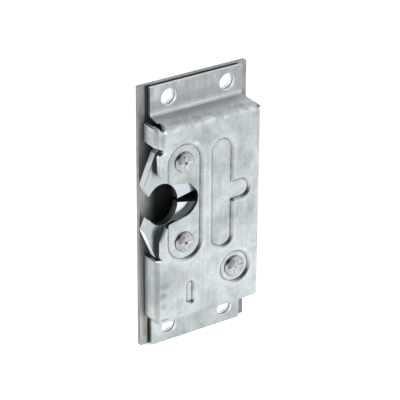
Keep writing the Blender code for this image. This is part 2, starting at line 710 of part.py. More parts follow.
def make_pawl(hole, parts, material):
    hub = PAWL_HUB_RADIUS
    nose_high = CENTRE_Z + NOSE_TOP
    nose_low = CENTRE_Z - NOSE_BOTTOM
    outline = rounded([
        (PAWL_X - hub, PAWL_Z - hub, hub * 0.95), (PAWL_X + hub, PAWL_Z - hub, hub * 0.95),
        (PAWL_X + hub, PAWL_Z + 6.0 * MM, 3.0 * MM), (PAWL_X + 0.6 * MM, CENTRE_Z - 6.0 * MM, 8.0 * MM),
        (PAWL_X - 2.2 * MM, nose_high + 0.6 * MM, 2.5 * MM), (NOSE_X + 5.0 * MM, nose_high, 2.0 * MM),
        (NOSE_X, nose_high, 0.5 * MM), (NOSE_X, nose_low, 0.5 * MM), (NOSE_X + 4.6 * MM, nose_low, 1.0 * MM),
        (NOSE_X + 4.2 * MM, CENTRE_Z - 22.0 * MM, 8.0 * MM), (PAWL_X - hub, PAWL_Z + 4.0 * MM, 3.0 * MM),
    ])
    outlines = [outline, circle(PAWL_PIVOT, LEVER_BORE),
                circle(pin_place(), PIN_SHANK_RADIUS + HOLE_CLEAR, 20),
                circle(hole, WIRE / 2 + HOLE_CLEAR, 12)]
    pawl = flat_piece("pawl", outlines, CLAW_BACK, CLAW_FRONT, parts)
    return finish_part(pawl, material, PAWL_PIVOT)


def make_release_pin(pawl, parts, material):
    head_back = CLAW_FRONT + CLEAR
    collar_back = PLATE_THICK + CLEAR
    collar_front = CLAW_BACK - CLEAR
    profile = [(0.0, CLEAR), (PIN_RADIUS - CLEAR, CLEAR), (PIN_RADIUS, 2 * CLEAR), (PIN_RADIUS, collar_back),
               (PIN_HEAD_RADIUS, collar_back), (PIN_HEAD_RADIUS, collar_front),
               (PIN_SHANK_RADIUS, collar_front), (PIN_SHANK_RADIUS, head_back),
               (PIN_HEAD_RADIUS, head_back), (PIN_HEAD_RADIUS, head_back + WASHER_THICK / 2),
               (PIN_RADIUS, head_back + WASHER_THICK), (0.0, head_back + WASHER_THICK)]
    pin = finish_part(turned_piece("release_pin", profile, pin_place(), parts), material, PAWL_PIVOT)
    pin.parent = pawl
    pin.matrix_parent_inverse = pawl.matrix_world.inverted()
    return pin


# Rivets, bushes and washers

def make_rivet(name, pivot, head_radius, turn, parts, cutters, material):
    """A rivet with a countersunk tail in the plate and a head staked so that a cross stands on it."""
    head_back = FLOOR_FRONT + CLEAR
    head_front = head_back + HEAD_HEIGHT
    face_radius = head_radius - HEAD_SLOPE
    profile = [(0.0, SKIP), (TAIL_HEAD_RADIUS, SKIP), (SHANK_RADIUS, TAIL_HEAD_DEPTH),
               (SHANK_RADIUS, head_back), (head_radius, head_back),
               (head_radius, head_back + 0.12 * HEAD_HEIGHT),
               (head_radius - 0.42 * HEAD_SLOPE, head_back + 0.6 * HEAD_HEIGHT), (face_radius, head_front),
               (0.0, head_front)]
    rivet = turned_piece(name, profile, pivot, parts)
    for quarter in range(4):
        angle = turn + quarter * math.pi / 2
        cut(rivet, stake_mark(name, pivot, head_radius, angle, head_front, cutters))
    punch = [(0.0, head_front - PUNCH_DEPTH), (PUNCH_RADIUS, head_front + SKIP),
             (PUNCH_RADIUS, head_front + PAST), (0.0, head_front + PAST)]
    cut(rivet, as_cutter(turned_piece(name + "_punch", punch, pivot, cutters)))
    return finish_part(rivet, material)


def stake_mark(name, pivot, head_radius, angle, head_front, place):
    """One pressed quarter between two arms of the cross; its floor falls away towards the rim."""
    reach = head_radius + PAST
    fall = math.tan(STAKE_FALL)
    shape = bmesh.new()
    for along in (STAKE_ARM, reach):
        for across in (STAKE_ARM, reach):
            low = STAKE_START + fall * (along + across - 2 * STAKE_ARM)
            shape.verts.new((along, across, head_front - low))
            shape.verts.new((along, across, head_front + PAST))
    bmesh.ops.convex_hull(shape, input=shape.verts[:])
    bmesh.ops.recalc_face_normals(shape, faces=shape.faces)
    mesh = bpy.data.meshes.new(name + "_stake")
    shape.to_mesh(mesh)
    shape.free()
    mesh.transform(Matrix.Translation((pivot[0], 0.0, pivot[1])) @ Matrix.Rotation(math.pi / 2, 4, "X")
                   @ Matrix.Rotation(angle, 4, "Z"))
    return as_cutter(add_object(name + "_stake", mesh, place))


def make_ring(name, pivot, bore, radius, back, front, parts, material):
    profile = [(bore, back), (radius, back), (radius, front), (bore, front)]
    return finish_part(turned_piece(name, profile, pivot, parts), material)


# Torsion springs

SPRINGS = {                      # pivot, side (-1 is upside down), fixed leg, lean
    "upper_claw": (UPPER_PIVOT, -1, UPPER_FIXED_LEG, 0.0),
    "lower_claw": (LOWER_PIVOT, 1, LOWER_FIXED_LEG, LOWER_LEAN),
    "pawl": (PAWL_PIVOT, 1, PAWL_FIXED_LEG, 0.0),
}


def spring_points(lever):
    """The wire's bends in (x, z, depth): fixed leg, coil and moving leg."""
    pivot, side, fixed_leg, lean = SPRINGS[lever]
    near = SPRING_BACK + WIRE / 2
    far = SPRING_FRONT - WIRE / 2
    steps = 18
    coil = []
    for step in range(round(steps * COIL_TURNS) + 1):
        share = step / round(steps * COIL_TURNS)
        angle = 2 * math.pi * COIL_TURNS * share
        depth = near + (far - near) * share
        coil.append((COIL_RADIUS * math.cos(angle), COIL_RADIUS * math.sin(angle), depth))
    first = (coil[0][0], coil[0][1] - fixed_leg, near)
    last = (coil[-1][0] - MOVING_LEG, coil[-1][1], far)
    path = []
    for x, z, depth in [first] + coil + [last]:
        leaned = turned_about((x, z), (0.0, 0.0), lean)
        path.append((pivot[0] + leaned[0], pivot[1] + side * leaned[1], depth))
    return path


def lever_hole(lever):
    x, z, _ = spring_points(lever)[-1]
    return (x, z)


def anchor_hole(lever):
    x, z, _ = spring_points(lever)[0]
    return (x, z)


def make_spring(lever, anchor_depth, parts, material):
    name = lever + "_spring"
    path = spring_points(lever)
    start = path[0]
    end = path[-1]
    path = [(start[0], start[1], anchor_depth)] + path + [(end[0], end[1], CLAW_FRONT - CLEAR)]
    curve = bpy.data.curves.new(name, "CURVE")
    curve.dimensions = "3D"
    curve.bevel_depth = WIRE / 2
    curve.bevel_resolution = 2
    curve.use_fill_caps = True
    spline = curve.splines.new("POLY")
    spline.points.add(len(path) - 1)
    for point, (x, z, depth) in zip(spline.points, path):
        point.co = (x, -depth, z, 1.0)
    holder = add_object(name + "_wire", curve, parts)
    return finish_part(mesh_from_curve(holder, name, parts), material)


# Whole latch

def build():
    clear_scene()
    parts = make_collection("door_latch")
    cutters = make_collection("cutters")
    zinc = metal("zinc_sheet", (0.62, 0.64, 0.65), 0.38)
    bright = metal("bright_zinc", (0.70, 0.74, 0.77), 0.28)
    steel = metal("rivet_steel", (0.60, 0.60, 0.61), 0.40)
    wire = metal("spring_wire", (0.42, 0.42, 0.43), 0.35)

    make_back_plate(parts, cutters, zinc)
    make_cover(parts, cutters, zinc)
    make_claw("upper_claw", 1, UPPER_PIVOT, lever_hole("upper_claw"), parts, bright)
    make_claw("lower_claw", -1, LOWER_PIVOT, lever_hole("lower_claw"), parts, bright)
    pawl = make_pawl(lever_hole("pawl"), parts, bright)
    make_release_pin(pawl, parts, steel)

    heads = ((HEAD_RADIUS, math.radians(5.0)), (HEAD_RADIUS, math.radians(1.4)),
             (PAWL_HEAD_RADIUS, math.radians(2.6)))
    for name, pivot, (head_radius, turn) in zip(("upper_claw", "lower_claw", "pawl"), PIVOTS, heads):
        make_rivet(name + "_rivet", pivot, head_radius, turn, parts, cutters, steel)
        make_ring(name + "_bush", pivot, BUSH_BORE, BUSH_RADIUS, SPRING_BACK, WASHER_FRONT, parts, steel)
        make_ring(name + "_washer", pivot, LEVER_BORE, WASHER_RADIUS, WASHER_BACK, WASHER_FRONT, parts,
                  steel)

    in_plate = CLEAR
    beside_nub = COVER_DEPTH - SHEET - CLEAR - WIRE / 2
    make_spring("upper_claw", in_plate, parts, wire)
    make_spring("lower_claw", beside_nub, parts, wire)
    make_spring("pawl", in_plate, parts, wire)


build()
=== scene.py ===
"""Looks of the door latch: zinc finishes, fine edges, floor, lights and the photograph's camera.

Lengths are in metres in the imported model's frame: +X right as seen from the front, -Y out of the
front and +Z up, with the origin on the middle of the back plate's back face. Finishes and the
choosers of finishes work in millimetres, where across, depth and up stand for X, Y and Z.
"""
import math

import bmesh
import bpy
from mathutils import Matrix, Vector


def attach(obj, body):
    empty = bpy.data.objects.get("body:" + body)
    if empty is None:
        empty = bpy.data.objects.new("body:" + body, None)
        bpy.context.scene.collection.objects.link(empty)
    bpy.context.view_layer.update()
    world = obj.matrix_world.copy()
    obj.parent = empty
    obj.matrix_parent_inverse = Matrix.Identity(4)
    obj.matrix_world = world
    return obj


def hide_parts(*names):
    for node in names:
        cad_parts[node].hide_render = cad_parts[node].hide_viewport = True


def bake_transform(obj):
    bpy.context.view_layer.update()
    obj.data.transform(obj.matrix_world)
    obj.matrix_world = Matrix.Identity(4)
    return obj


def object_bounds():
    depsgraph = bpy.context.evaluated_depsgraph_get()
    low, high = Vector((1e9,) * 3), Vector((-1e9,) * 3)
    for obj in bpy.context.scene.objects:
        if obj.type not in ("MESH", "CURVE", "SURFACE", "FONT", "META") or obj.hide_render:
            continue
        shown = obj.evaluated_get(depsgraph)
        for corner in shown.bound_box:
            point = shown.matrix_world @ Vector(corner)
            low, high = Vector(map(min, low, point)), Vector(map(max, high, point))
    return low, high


MM = 0.001

# Camera: where the photograph was taken from, and what it looks at
CAMERA_AT = (-0.4061, -0.6204, 0.3783)
CAMERA_AIM = (0.00482, 0.0, 0.0)
CAMERA_ROLL = 0.34
CAMERA_LENS = 187.5
CAMERA_SENSOR = 36.0
CAMERA_CLIP = (0.05, 20.0)

# Surroundings: the way to the photograph's camera, where the room is dark
DARK_WAY = (-0.52, -0.71, 0.47)
DARK_REACH = (16, 46)            # degrees from that way: all dark, and not dark any more
DARK_SHARE = 0.03                # of the light that is left there
HORIZON = 1.45                   # brightness of the surroundings low down and overhead
OVERHEAD = 0.60
SKY_HEIGHTS = (0.42, 0.80)       # between which the one passes into the other
SKY_COLOUR = (0.985, 0.995, 1.0)

# Floor: a painted pool of light, its glow far off and at its brightest place, which the cover's face reflects
FLOOR_REACH = 6.0
FLOOR_DROP = 0.2 * MM
FLOOR_WHITE = (0.90, 0.90, 0.90)
GLOW = (0.50, 0.85)
GLOW_AT = (0.07, -0.13)
GLOW_REACH = 0.30

# Edge rounding and shading
SHEET_EDGE = 0.12 * MM
CLAW_EDGE = 0.16 * MM
RIVET_EDGE = 0.10 * MM
EDGE_SEGMENTS = 2
SMOOTH_ANGLE = 32.0
SHARP_ANGLE = 42.0
FLAT_ANGLE = 0.5                 # facets closer to flat than this are fused
WELD = 0.002 * MM

# Greys of the metals: two each, the darker first
COVER_GREYS = ((0.235, 0.265, 0.275), (0.60, 0.645, 0.66))
PLATE_GREYS = ((0.20, 0.215, 0.205), (0.38, 0.395, 0.385))
CLAW_GREYS = ((0.32, 0.37, 0.385), (0.43, 0.475, 0.49))
CLAW_EDGE_GREYS = ((0.36, 0.37, 0.39), (0.56, 0.57, 0.60))
RIVET_GREYS = ((0.25, 0.25, 0.26), (0.60, 0.60, 0.615))
CROSS_GREYS = ((0.42, 0.42, 0.43), (0.68, 0.68, 0.695))
EDGE_GREYS = ((0.60, 0.62, 0.64), (0.86, 0.87, 0.88))
# painted shade: greys of the faces inside the housing, of the mouth's edge and of the burr's dark part
SHADE_GREYS = ((0.09, 0.105, 0.11), (0.18, 0.20, 0.205))
WIRE_GREYS = ((0.30, 0.30, 0.31), (0.45, 0.45, 0.46))

# Colours of the films that lie over them: tints and stains, and painted shade and highlights
# grease and painted shade inside the housing
GREASE_AND_SHADE = (0.012, 0.013, 0.012)
# painted shade in corners and beside edges, and the colour of smudges and dark lines
SHADE_AND_SMUDGE = (0.045, 0.05, 0.05)
STAIN = (0.20, 0.17, 0.13)
# painted shade, bluish, on the upper flange and the slope's head
LAVENDER_SHADE = (0.27, 0.28, 0.305)
# painted light on the claws' beaks
CLAW_BEAK = (0.45, 0.50, 0.525)
# painted light on the plate's left strip
PALE = (0.47, 0.48, 0.47)
WARM = (0.50, 0.49, 0.44)
# painted light on the lower claw's beak
LOWER_BEAK = (0.58, 0.63, 0.66)
# painted sheen and highlights on the cover's recess rings, crease and slope, and the colour of its fine
# scratches
SHEEN_AND_WEAR = (0.72, 0.75, 0.76)
# painted highlights: glints, the fold line and the burr's shine
BRIGHT = (0.97, 0.97, 0.97)
WHITE = (1.0, 1.0, 1.0)
# colour of the painted glow of bounced light inside the housing
COOL_WHITE = (0.75, 0.96, 1.0)

# Every metal: the shares of its clouds, patches and grain in its grey, its streaks' width in mm and
# how far they are drawn out, the depth of its grain, and the depth of its broad dents and their mm
CLOUD_SHARE = 0.50
PATCH_SHARE = 0.24
GRAIN_SHARE = 0.26
STREAK_WIDTH = 1.1
STREAK_SQUEEZE = 0.06
GRAIN_DEPTH = 0.03 * MM
WAVE_DEPTH = 0.4 * MM
WAVE_WIDTH = 5.0

# Bands of the cover in mm: low end, high end, and how far they fade on either side
# painted highlight ring, and painted shade round the floor and beyond the lower right, of each recess
RECESS_RING = (1.1, 1.9, 0.9)            # outwards from a recess's floor
RECESS_SHADE = (-0.08, 0.08, 0.26)
RECESS_SIDE_SHADE = (0.3, 0.7, 0.6)
LEFT_BEND = (-22.9, -21.9, 0.5)          # across
# where painted sheen, shade and highlights lie on the top bend, the slope, the fold and the flange
TOP_CREASE = (39.8, 41.4, 1.3)           # up
SLOPE_FOOT = (41.8, 42.7, 0.9)
SLOPE_MIDDLE = (42.6, 44.4, 0.5)
SLOPE_HEAD = (44.7, 45.0, 0.3)
FOLD_LINE = (45.35, 45.5, 0.2)
FLANGE_FOOT = (47.8, 50.2, 1.4)

# Steps of the cover in mm: where a share is 0 and where it is 1
COVER_SHADE_BY_HEIGHT = (-32.0, 8.0, 0.16, -0.06)   # painted shade by height: up, and what it adds to the grey at each of the two
FACE_DEPTH = (-9.6, -10.2)
CREASE_DEPTH = (-9.0, -10.4)
BEND_DEPTH = (-9.0, -10.0)
BURR_DEPTH = (-9.3, -9.9)
FLANGE_DEPTH = (-4.8, -4.2)
FLANGE_UP = (45.6, 47.2)
FLANGE_RIGHT = (6.0, 18.0)               # from the one to the other the bluish painted shade at its foot is weaker
RIGHT_OF_SLOT = (-3.0, -1.0)             # the painted shade at the lower right is thinner round the small slot's foot
ABOVE_SLOT = (-35.5, -33.0)
LOWER_RIGHT = (0.55, 0.98)               # a lean, not a length

# The claws in mm: bands and steps as above
CLAW_SHADE = (-21.9, -17.8, 1.5)           # painted shade: across, beside the cover's edge
CLAW_LINE = (0.1, 0.3, 0.15)             # inwards from the upper claw's outer edge
CLAW_LINE_UP = (17.0, 18.5)
BEAK_ACROSS = (-17.0, -11.0)
LOWER_CLAW_UP = (7.8, 7.2)
LOWER_SHANK_UP = (-1.0, -3.5)
UPPER_SHANK_UP = (19.5, 22.0)
UPPER_OUTER_EDGE = ((-26.4, 17.6), (-21.3, 30.0))        # (x, z) at its tip and at its heel

# The plate in mm: bands and steps as above
PLATE_FRONT = (-1.6, -1.8)
GREASE_SHADE_LEFT = (-26.0, -17.0)
GREASE_SHADE_RIGHT = (22.2, 20.8)
GREASE_SHADE_UP = (-43.0, 44.0, 2.0)
STRIP_ACROSS = (-20.5, -22.5)            # painted light: left of the cover, paler the lower down
STRIP_UP = (-46.0, -12.0)
UPPER_SHADE = ((-22.0, -20.0, 0.4), (40.0, 43.0))        # of the cover's edges: across, then up
LOWER_SHADE = ((-21.6, -20.0, 0.4), (-43.0, -46.0))
TOP_SHADE = ((-21.0, 19.5, 1.5), (56.0, 56.8, 0.3))
STAIN_ACROSS = (-23.3, -22.6, 0.7)
STAIN_UP = (-52.0, -44.0, 2.0)

# Rivets' middles (x, z) in mm, and how dark the painted shade in the punch mark of each one is
PIVOTS = ((-9.55, 25.0), (-9.55, -10.0), (14.45, -28.0))
PUNCHED = (0.85, 0.9, 0.25)
HEAD_REACH = (5.4, 5.0)
HEAD_SHADE = (0.4, 4.6)
PUNCH_REACH = (1.0, 0.45)

# Floors of the pressed recesses as slots in mm: low and high end (x, z), and radius
RECESSES = (((-9.55, -10.0), (-9.55, 25.0), 7.25), ((14.45, -28.0), (14.45, -28.0), 6.4),
            ((8.0, -12.3), (8.0, 26.0), 4.3), ((8.0, 6.9), (16.7, 6.9), 3.65),
            ((-7.0, -36.8), (-7.0, -30.0), 1.1))

# Smudges and painted shade, and painted glints, on the cover's face in mm: middle (x, z), half sizes across
# and up, and strength
SMUDGES_AND_SHADE = ((-19.2, -27.0, 3.2, 2.6, 0.30), (-20.0, -31.4, 2.1, 1.8, 0.34), (-19.9, 36.8, 1.7, 4.6, 0.36),
           (-13.5, 33.4, 6.0, 2.2, 0.16), (21.4, 0.5, 2.6, 13.0, 0.20), (12.7, 2.7, 1.0, 0.9, 0.75),
           (-6.4, -37.8, 1.3, 1.0, 0.15), (3.0, -37.0, 4.5, 3.0, 0.10), (-19.7, -36.3, 2.3, 1.9, 0.26),
           (-12.1, -41.2, 1.8, 0.45, 0.35), (-19.3, -42.3, 2.8, 0.55, 0.55))
GLINTS = ((-18.7, 40.0, 0.7, 0.7, 0.95), (-19.2, 31.2, 0.6, 0.6, 0.75), (-5.0, 31.9, 2.6, 1.5, 0.28),
          (25.2, 39.9, 0.8, 1.2, 0.95), (-22.7, 34.7, 0.6, 0.5, 0.9))
SPOT_REACH = (1.1, 0.3)                  # in half sizes

# Parts of a face's normal, for the choosers of finishes
FACING = 0.5                             # it faces that way rather than another
SQUARELY = 0.9
EDGE_ON = 0.3                            # less than this towards the front or the back: a sheet's side
LEAN = 0.12                              # the same for the mouth's edge, which is cut square
LOWER_EDGE_WAY = (-0.8, -0.2)            # the lower claw's outer edge: left and down
MOUTH_LEFT = -0.6
HEAD_FACING = 0.8
HEAD_FLAT = 0.998                        # the cross is flat, and the pressed quarters lean a little

# Places of the faces in mm, for the choosers of finishes
PLATE_INSIDE = (24.0, 56.5)              # half sizes, within which a side is a hole's wall
LOWER_EDGE_UP = (-16.0, -2.0)            # the lower claw's outer edge
FLANGE_FRONT = -4.1                      # a flange's faces lie further back than this
FLANGE_FROM = 45.3                       # and further up or down than this
FLANGE_MIDDLE = 0.3                      # across, and how far out from there its sides are
FLANGE_HALF = 20.5
MOUTH_ACROSS = (-22.95, -2.0)
MOUTH_UP = (-16.2, 35.0)
MOUTH_TIP = -15.0                        # left of it the mouth's left-facing edge stays bright
WALL_ENDS = (-20.6, 23.6)                # the side walls' ends lie outside these
SHEET_BACK = -2.0                        # the mouth's and the walls' edges lie further out than this
WALL_BACK = -2.8                         # and their back edges further back than this
LEFT_INSIDE = (-19.0, 41.0)              # left of it and below it a right-facing side is the left wall's
RIGHT_INSIDE = 23.0
HEAD_BACK = -10.7
PUNCH_HALF = 1.0


# Node helpers

class Nodes:
    """A short way to add nodes to a material or world and to join them."""

    def __init__(self, tree):
        self.tree = tree

    def add(self, kind, inputs=None, **settings):
        node = self.tree.nodes.new(kind)
        for key, value in settings.items():
            setattr(node, key, value)
        for key, value in (inputs or {}).items():
            if isinstance(value, bpy.types.NodeSocket):
                self.tree.links.new(value, node.inputs[key])
            else:
                node.inputs[key].default_value = value
        return node

    def noise(self, vector, scale, detail=2.0, roughness=0.5, distortion=0.0):
        node = self.add("ShaderNodeTexNoise", {"Vector": vector, "Scale": scale, "Detail": detail,
                                               "Roughness": roughness, "Distortion": distortion})
        return node.outputs["Fac"]

    def spread(self, value, low, high, to_low=0.0, to_high=1.0):
        """Moves low to high evenly over to_low to to_high, and stays within those."""
        node = self.add("ShaderNodeMapRange", {"Value": value, "From Min": low, "From Max": high,
                                               "To Min": to_low, "To Max": to_high})
        return node.outputs["Result"]

    def step(self, value, low, high):
        """0 at low and 1 at high, with an even start and end."""
        node = self.add("ShaderNodeMapRange", {"Value": value, "From Min": low, "From Max": high},
                        interpolation_type="SMOOTHSTEP")
        return node.outputs["Result"]

    def band(self, value, low, high, soft):
        """1 between low and high, fading to 0 over soft on either side."""
        return self.product(self.step(value, low - soft, low), self.step(value, high + soft, high))

    def math(self, operation, first, second):
        return self.add("ShaderNodeMath", {0: first, 1: second}, operation=operation).outputs[0]

    def product(self, first, *others):
        for other in others:
            first = self.math("MULTIPLY", first, other)
        return first

    def total(self, first, *others):
        for other in others:
            first = self.math("ADD", first, other)
        return first

    def less(self, first, second):
        return self.math("SUBTRACT", first, second)

    def within(self, value, low, high):
        return self.math("MINIMUM", self.math("MAXIMUM", value, low), high)

    def length(self, x, y):
        flat = self.add("ShaderNodeCombineXYZ", {"X": x, "Y": y}).outputs[0]
        return self.add("ShaderNodeVectorMath", {0: flat}, operation="LENGTH").outputs["Value"]

    def mix(self, factor, first, second):
        node = self.add("ShaderNodeMix", {"Factor": factor}, data_type="RGBA")
        for socket, value in ((node.inputs[6], first), (node.inputs[7], second)):
            if isinstance(value, bpy.types.NodeSocket):
                self.tree.links.new(value, socket)
            else:
                socket.default_value = value
        return node.outputs[2]


def rgba(colour):
    return (*colour, 1.0)


class Metal:
    """A plated metal of clouds, mottled patches and fine grain, with films of other colours over it, many of
    them painted shade and highlights.

    cloud, mottle and grain are sizes in mm. streak is the strength of upright streaks, wave that of broad
    dents, and the last argument is painted shade by height, which lightens or darkens the metal: its two
    heights and what it adds at each.
    """

    def __init__(self, name, greys, roughness, cloud=11.0, mottle=2.6, streak=0.0, grain=0.35, bump=0.06,
                 wave=0.0, shade_by_height=None):
        self.material = bpy.data.materials.new(name)
        self.material.use_nodes = True
        nodes = self.nodes = Nodes(self.material.node_tree)
        self.shader = self.material.node_tree.nodes["Principled BSDF"]
        self.shader.inputs["Metallic"].default_value = 1.0
        place = self.place = nodes.add("ShaderNodeTexCoord").outputs["Object"]
        axes = nodes.add("ShaderNodeSeparateXYZ", {"Vector": place}).outputs
        self.across, self.depth, self.up = (nodes.product(axes[axis], 1 / MM) for axis in "XYZ")
        clouds = nodes.spread(self.noise(cloud, 4.0, 0.55, 0.6), 0.32, 0.68)
        patches = nodes.spread(self.noise(mottle, 3.0, 0.6, 1.2), 0.3, 0.7)
        fine = self.noise(grain, 2.0, 0.7)
        blend = nodes.total(nodes.product(clouds, CLOUD_SHARE), nodes.product(patches, PATCH_SHARE),
                            nodes.product(fine, GRAIN_SHARE))
        if streak:
            lines = self.noise(STREAK_WIDTH, 3.0, 0.6, squeeze=STREAK_SQUEEZE)
            blend = nodes.total(blend, nodes.spread(lines, 0.35, 0.65, -streak, streak))
        if shade_by_height:
            blend = nodes.total(blend, nodes.spread(self.up, *shade_by_height))
        self.colour = nodes.mix(blend, rgba(greys[0]), rgba(greys[1]))
        self.rough = nodes.spread(blend, 0.1, 0.9, roughness[1], roughness[0])
        relief = nodes.add("ShaderNodeBump", {"Height": fine, "Strength": bump, "Distance": GRAIN_DEPTH})
        if wave:
            under = nodes.add("ShaderNodeBump", {"Height": self.noise(WAVE_WIDTH), "Strength": wave,
                                                 "Distance": WAVE_DEPTH})
            self.join(under.outputs["Normal"], relief.inputs["Normal"])
        self.join(relief.outputs["Normal"], self.shader.inputs["Normal"])

    def join(self, output, socket):
        self.material.node_tree.links.new(output, socket)

    def noise(self, size, detail=2.0, roughness=0.5, distortion=0.0, squeeze=None):
        """Noise with spots about size mm wide, drawn out upwards where squeeze is a share below 1."""
        place = self.place
        if squeeze:
            scale = (1.0, 1.0, squeeze)
            place = self.nodes.add("ShaderNodeMapping", {"Vector": place, "Scale": scale}).outputs[0]
        return self.nodes.noise(place, 1 / MM / size, detail, roughness, distortion)

    def streaks(self, width, length, low, high):
        """Upright streaks of a share between low and high; width and length in mm."""
        lines = self.noise(width, 3.0, 0.6, 0.4, squeeze=width / length)
        return self.nodes.spread(lines, 0.38, 0.62, low, high)

    def film(self, colour, *shares):
        """Lays a colour over the metal, as much as the product of the shares says."""
        self.colour = self.nodes.mix(self.nodes.product(*shares), self.colour, rgba(colour))

    def glow(self, colour, strength):
        """A painted glow: it stands for the light that has bounced about among the pieces, and on the bright
        edges for a highlight.
        """
        self.shader.inputs["Emission Color"].default_value = rgba(colour)
        self.shader.inputs["Emission Strength"].default_value = strength
        return self

    def done(self):
        self.join(self.colour, self.shader.inputs["Base Color"])
        self.join(self.rough, self.shader.inputs["Roughness"])
        return self.material


# Finishes

def recess_distance(metal):
    """How many mm a point of the cover lies outside the nearest recess's floor, negative inside it,
    and which side of the recess it is on: 1 at the lower right, -1 at the upper left.
    """
    nodes = metal.nodes
    nearest = lean = None
    for (low_x, low_z), (high_x, high_z), radius in RECESSES:
        beside = nodes.less(metal.across, nodes.within(metal.across, low_x, high_x))
        above = nodes.less(metal.up, nodes.within(metal.up, low_z, high_z))
        length = nodes.length(beside, above)
        gap = nodes.less(length, radius)
        side = nodes.math("DIVIDE", nodes.less(beside, above), nodes.product(length, math.sqrt(2)))
        if nearest is None:
            nearest, lean = gap, side
        else:
            closer = nodes.math("LESS_THAN", gap, nearest)
            lean = nodes.total(lean, nodes.product(closer, nodes.less(side, lean)))
            nearest = nodes.math("MINIMUM", nearest, gap)
    return nearest, lean


def add_recess_marks(metal, front):
    """A painted highlight in a ring outside each recess, painted shade in the corner round its floor, and
    more painted shade outside its lower right.
    """
    nodes = metal.nodes
    gap, lean = recess_distance(metal)
    metal.film(SHEEN_AND_WEAR, nodes.band(gap, *RECESS_RING), front, 0.16)
    uneven = nodes.spread(metal.noise(4.0), 0.3, 0.7, 0.45, 1.0)
    thicker = nodes.spread(lean, -0.9, 0.8, 0.30, 0.95)
    metal.film(SHADE_AND_SMUDGE, nodes.band(gap, *RECESS_SHADE), front, uneven, thicker)
    large = nodes.math("MAXIMUM", nodes.step(metal.across, *RIGHT_OF_SLOT), nodes.step(metal.up, *ABOVE_SLOT))
    side_shade = nodes.product(nodes.band(gap, *RECESS_SIDE_SHADE), nodes.step(lean, *LOWER_RIGHT),
                          nodes.spread(large, 0.0, 1.0, 0.25, 1.0))
    metal.film(SHADE_AND_SMUDGE, side_shade, front, 0.55)


def add_spots(metal, front):
    """Smudges and painted shade, and painted glints, on the cover's face."""
    nodes = metal.nodes
    for spots, colour in ((SMUDGES_AND_SHADE, SHADE_AND_SMUDGE), (GLINTS, BRIGHT)):
        for x, z, half_x, half_z, strength in spots:
            beside = nodes.math("DIVIDE", nodes.less(metal.across, x), half_x)
            above = nodes.math("DIVIDE", nodes.less(metal.up, z), half_z)
            metal.film(colour, nodes.step(nodes.length(beside, above), *SPOT_REACH), front, strength)


def add_top_marks(metal):
    """Painted shade, bluish, on the upper flange, more at its foot, and at the slope's head; a painted
    highlight along the fold, and painted sheen on the slope and on the crease below it.
    """
    nodes = metal.nodes
    patches = nodes.spread(metal.noise(3.0, 2.0, 0.6, 0.6), 0.40, 0.66)
    # painted sheen on the crease and the slope, painted shade on the flange and the slope's head, and a
    # painted highlight along the fold
    metal.film(SHEEN_AND_WEAR, nodes.band(metal.up, *TOP_CREASE), nodes.step(metal.depth, *CREASE_DEPTH),
               patches, 0.55)
    flange = nodes.step(metal.depth, *FLANGE_DEPTH)
    metal.film(LAVENDER_SHADE, nodes.step(metal.up, *FLANGE_UP), flange, metal.streaks(2.4, 9.0, 0.15, 0.75))
    metal.film(SHEEN_AND_WEAR, nodes.band(metal.up, *SLOPE_MIDDLE), 0.40)
    metal.film(SHEEN_AND_WEAR, nodes.band(metal.up, *SLOPE_FOOT), metal.streaks(2.0, 5.0, 0.20, 0.85))
    metal.film(LAVENDER_SHADE, nodes.band(metal.up, *FLANGE_FOOT), flange,
               nodes.spread(metal.across, *FLANGE_RIGHT, 0.65, 0.20))
    metal.film(LAVENDER_SHADE, nodes.band(metal.up, *SLOPE_HEAD), 0.30)
    metal.film(BRIGHT, nodes.band(metal.up, *FOLD_LINE), 0.45)


def make_cover_zinc():
    """The cover's zinc, with warm clouds, fine upright scratches, and painted shade by height: lighter low
    down, darker higher up.
    """
    metal = Metal("cover_zinc", COVER_GREYS, (0.30, 0.42), cloud=13.0, streak=0.05, wave=0.10,
                  shade_by_height=COVER_SHADE_BY_HEIGHT)
    front = metal.nodes.step(metal.depth, *FACE_DEPTH)
    metal.film(WARM, metal.streaks(7.0, 12.0, -0.10, 0.22))
    add_recess_marks(metal, front)
    metal.film(SHEEN_AND_WEAR, front, metal.streaks(0.45, 4.0, -0.5, 0.14))
    add_spots(metal, front)
    add_top_marks(metal)
    # painted shade along the left bend
    metal.film(SHADE_AND_SMUDGE, metal.nodes.band(metal.across, *LEFT_BEND), metal.nodes.step(metal.depth, *BEND_DEPTH),
               0.28)
    return metal.done()


def make_rivet_zinc(name, greys, roughness, bump):
    """A rivet head's zinc, with painted shade towards its upper left and in the punch mark."""
    metal = Metal(name, greys, roughness, cloud=2.2, mottle=0.6, grain=0.2, bump=bump)
    nodes = metal.nodes
    for (x, z), darkness in zip(PIVOTS, PUNCHED):
        right = nodes.less(metal.across, x)
        over = nodes.less(metal.up, z)
        far = nodes.length(right, over)
        # painted shade on the head's upper left and in the punch mark
        shade = nodes.step(nodes.less(over, right), *HEAD_SHADE)
        metal.film(SHADE_AND_SMUDGE, shade, nodes.step(far, *HEAD_REACH), 0.62)
        metal.film(SHADE_AND_SMUDGE, nodes.step(far, *PUNCH_REACH), darkness)
    return metal.done()


def make_burr():
    """The lower wall's sheared top: painted shade beside the claw, and a painted highlight with a glow on the
    burr at its front end.
    """
    metal = Metal("burr", SHADE_GREYS, (0.40, 0.50)).glow(WHITE, 0.0)
    # painted highlight and glow at the burr's front end
    shine = metal.nodes.step(metal.depth, *BURR_DEPTH)
    metal.film(BRIGHT, shine)
    metal.join(metal.nodes.product(shine, 0.75), metal.shader.inputs["Emission Strength"])
    return metal.done()


